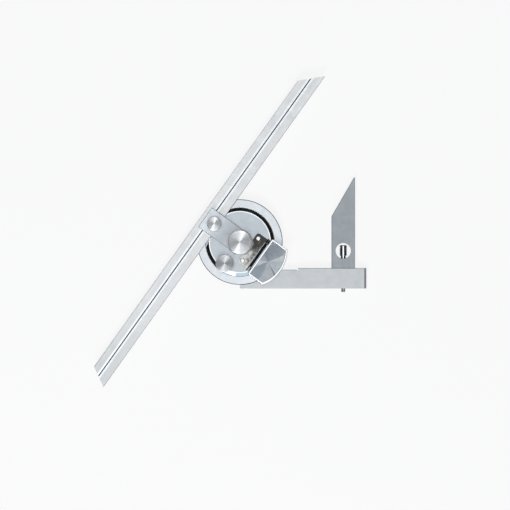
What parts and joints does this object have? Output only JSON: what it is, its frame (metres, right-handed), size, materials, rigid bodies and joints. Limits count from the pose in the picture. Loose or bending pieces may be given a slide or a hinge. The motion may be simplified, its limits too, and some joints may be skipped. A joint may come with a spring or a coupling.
{
  "type": "bevel protractor",
  "caption": "Universal bevel protractor with a graduated dial on a stock, a swivelling turret that clamps a sliding blade, fine feed, hinged magnifier and acute-angle attachment.",
  "frame": {"origin": "swivel axis of the turret in the flat back plane", "axes": "+Z out of the back towards the dial's face, +X along the stock, +Y across it towards the attachment"},
  "size_m": [0.2142, 0.2442, 0.0196],
  "materials": {
    "stock": "surface-ground steel, fine lengthways grain",
    "dial_body": "satin chrome on steel, black graduations",
    "stock_screws": "blued steel",
    "ring_gear": "machined brass",
    "pivot_stud": "turned steel",
    "thrust_washer": "bronze",
    "lock_washer": "turned steel",
    "centre_lock_nut": "turned face, knurled rim, satin chrome",
    "swivel_disc": "satin chrome, polished bevel",
    "vernier_plate": "satin chrome, black graduations",
    "vernier_screws": "turned steel",
    "clamp_arm": "satin chrome on steel",
    "arm_screws": "blued steel",
    "clamp_shoe": "machined brass",
    "blade_clamp_screw": "turned face, knurled rim",
    "blade": "ground steel, fine lengthways grain",
    "pinion_bush": "turned brass",
    "pinion_shaft": "hobbed and ground steel",
    "fine_feed_knob": "turned face, knurled rim",
    "knob_grub_screw": "blackened steel",
    "magnifier_bracket": "polished chrome",
    "bracket_screws": "bright nickel plate",
    "hinge_rod": "ground steel",
    "hinge_washers": "sprung bronze",
    "lens_frame": "bright chrome",
    "lens": "clear glass, pale blue",
    "acute_attachment": "ground steel",
    "attachment_bolt": "turned steel",
    "barrel_nut": "knurled steel, bright"
  },
  "bodies": {
    "stock_side": {"stock": "stock", "dial_body": "dial_body", "stock_screws": "stock_screws", "ring_gear": "ring_gear", "pivot_stud": "pivot_stud", "thrust_washer": "thrust_washer", "acute_attachment": "acute_attachment"},
    "turret": {"swivel_disc": "swivel_disc", "vernier_plate": "vernier_plate", "vernier_screws": "vernier_screws", "clamp_arm": "clamp_arm", "arm_screws": "arm_screws", "pinion_bush": "pinion_bush", "magnifier_bracket": "magnifier_bracket", "bracket_screws": "bracket_screws", "hinge_rod": "hinge_rod", "hinge_washers": "hinge_washers"},
    "fine_feed": {"pinion_shaft": "pinion_shaft", "fine_feed_knob": "fine_feed_knob", "knob_grub_screw": "knob_grub_screw"},
    "lock_washer_body": {"lock_washer": "lock_washer"},
    "lock_nut_body": {"centre_lock_nut": "centre_lock_nut"},
    "clamp_shoe_body": {"clamp_shoe": "clamp_shoe"},
    "clamp_screw_body": {"blade_clamp_screw": "blade_clamp_screw"},
    "blade_body": {"blade": "blade"},
    "magnifier": {"lens_frame": "lens_frame", "lens": "lens"},
    "bolt_body": {"attachment_bolt": "attachment_bolt"},
    "barrel_nut_body": {"barrel_nut": "barrel_nut"}
  },
  "joints": [
    {"name": "blade_swivel", "type": "hinge", "parent": "stock_side", "child": "turret", "pos_m": [0, 0, 0.0045], "axis": [0, 0, 1], "continuous": true},
    {"name": "fine_feed_turn", "type": "hinge", "parent": "turret", "child": "fine_feed", "pos_m": [-0.0119, -0.01669, 0.007], "axis": [0, 0, 1], "continuous": true},
    {"name": "blade_slide", "type": "slide", "parent": "turret", "child": "blade_body", "axis": [0.5807, 0.8141, 0], "range_m": [-0.119, 0.135]},
    {"name": "clamp_shoe_lift", "type": "slide", "parent": "turret", "child": "clamp_shoe_body", "axis": [0, 0, 1], "range_m": [0, 0.00035]},
    {"name": "clamp_screw_turn", "type": "hinge", "parent": "clamp_shoe_body", "child": "clamp_screw_body", "pos_m": [-0.02011, 0.01434, 0.012], "axis": [0, 0, 1], "range_deg": [0, 181]},
    {"name": "lock_washer_lift", "type": "slide", "parent": "stock_side", "child": "lock_washer_body", "axis": [0, 0, 1], "range_m": [0, 0.00056]},
    {"name": "lock_nut_turn", "type": "hinge", "parent": "lock_washer_body", "child": "lock_nut_body", "pos_m": [0, 0, 0.014], "axis": [0, 0, 1], "range_deg": [0, 270]},
    {"name": "magnifier_flip", "type": "hinge", "parent": "turret", "child": "magnifier", "pos_m": [0.01457, -0.01039, 0.00965], "axis": [-0.5807, -0.8141, 0], "range_deg": [0, 110]},
    {"name": "barrel_nut_turn", "type": "hinge", "parent": "stock_side", "child": "barrel_nut_body", "pos_m": [0.0815, -0.0082, 0.003], "axis": [0, 1, 0], "range_deg": [0, 721]},
    {"name": "attachment_bolt_slide", "type": "slide", "parent": "stock_side", "child": "bolt_body", "axis": [0, -1, 0], "range_m": [0, 0.001]}
  ],
  "couplings": [
    {"joint": "fine_feed_turn", "follows": "blade_swivel", "ratio": -5.5556},
    {"joint": "clamp_screw_turn", "follows": "clamp_shoe_lift", "rad_per_m": 8976},
    {"joint": "lock_nut_turn", "follows": "lock_washer_lift", "rad_per_m": 8377.6},
    {"joint": "barrel_nut_turn", "follows": "attachment_bolt_slide", "rad_per_m": 12566}
  ]
}
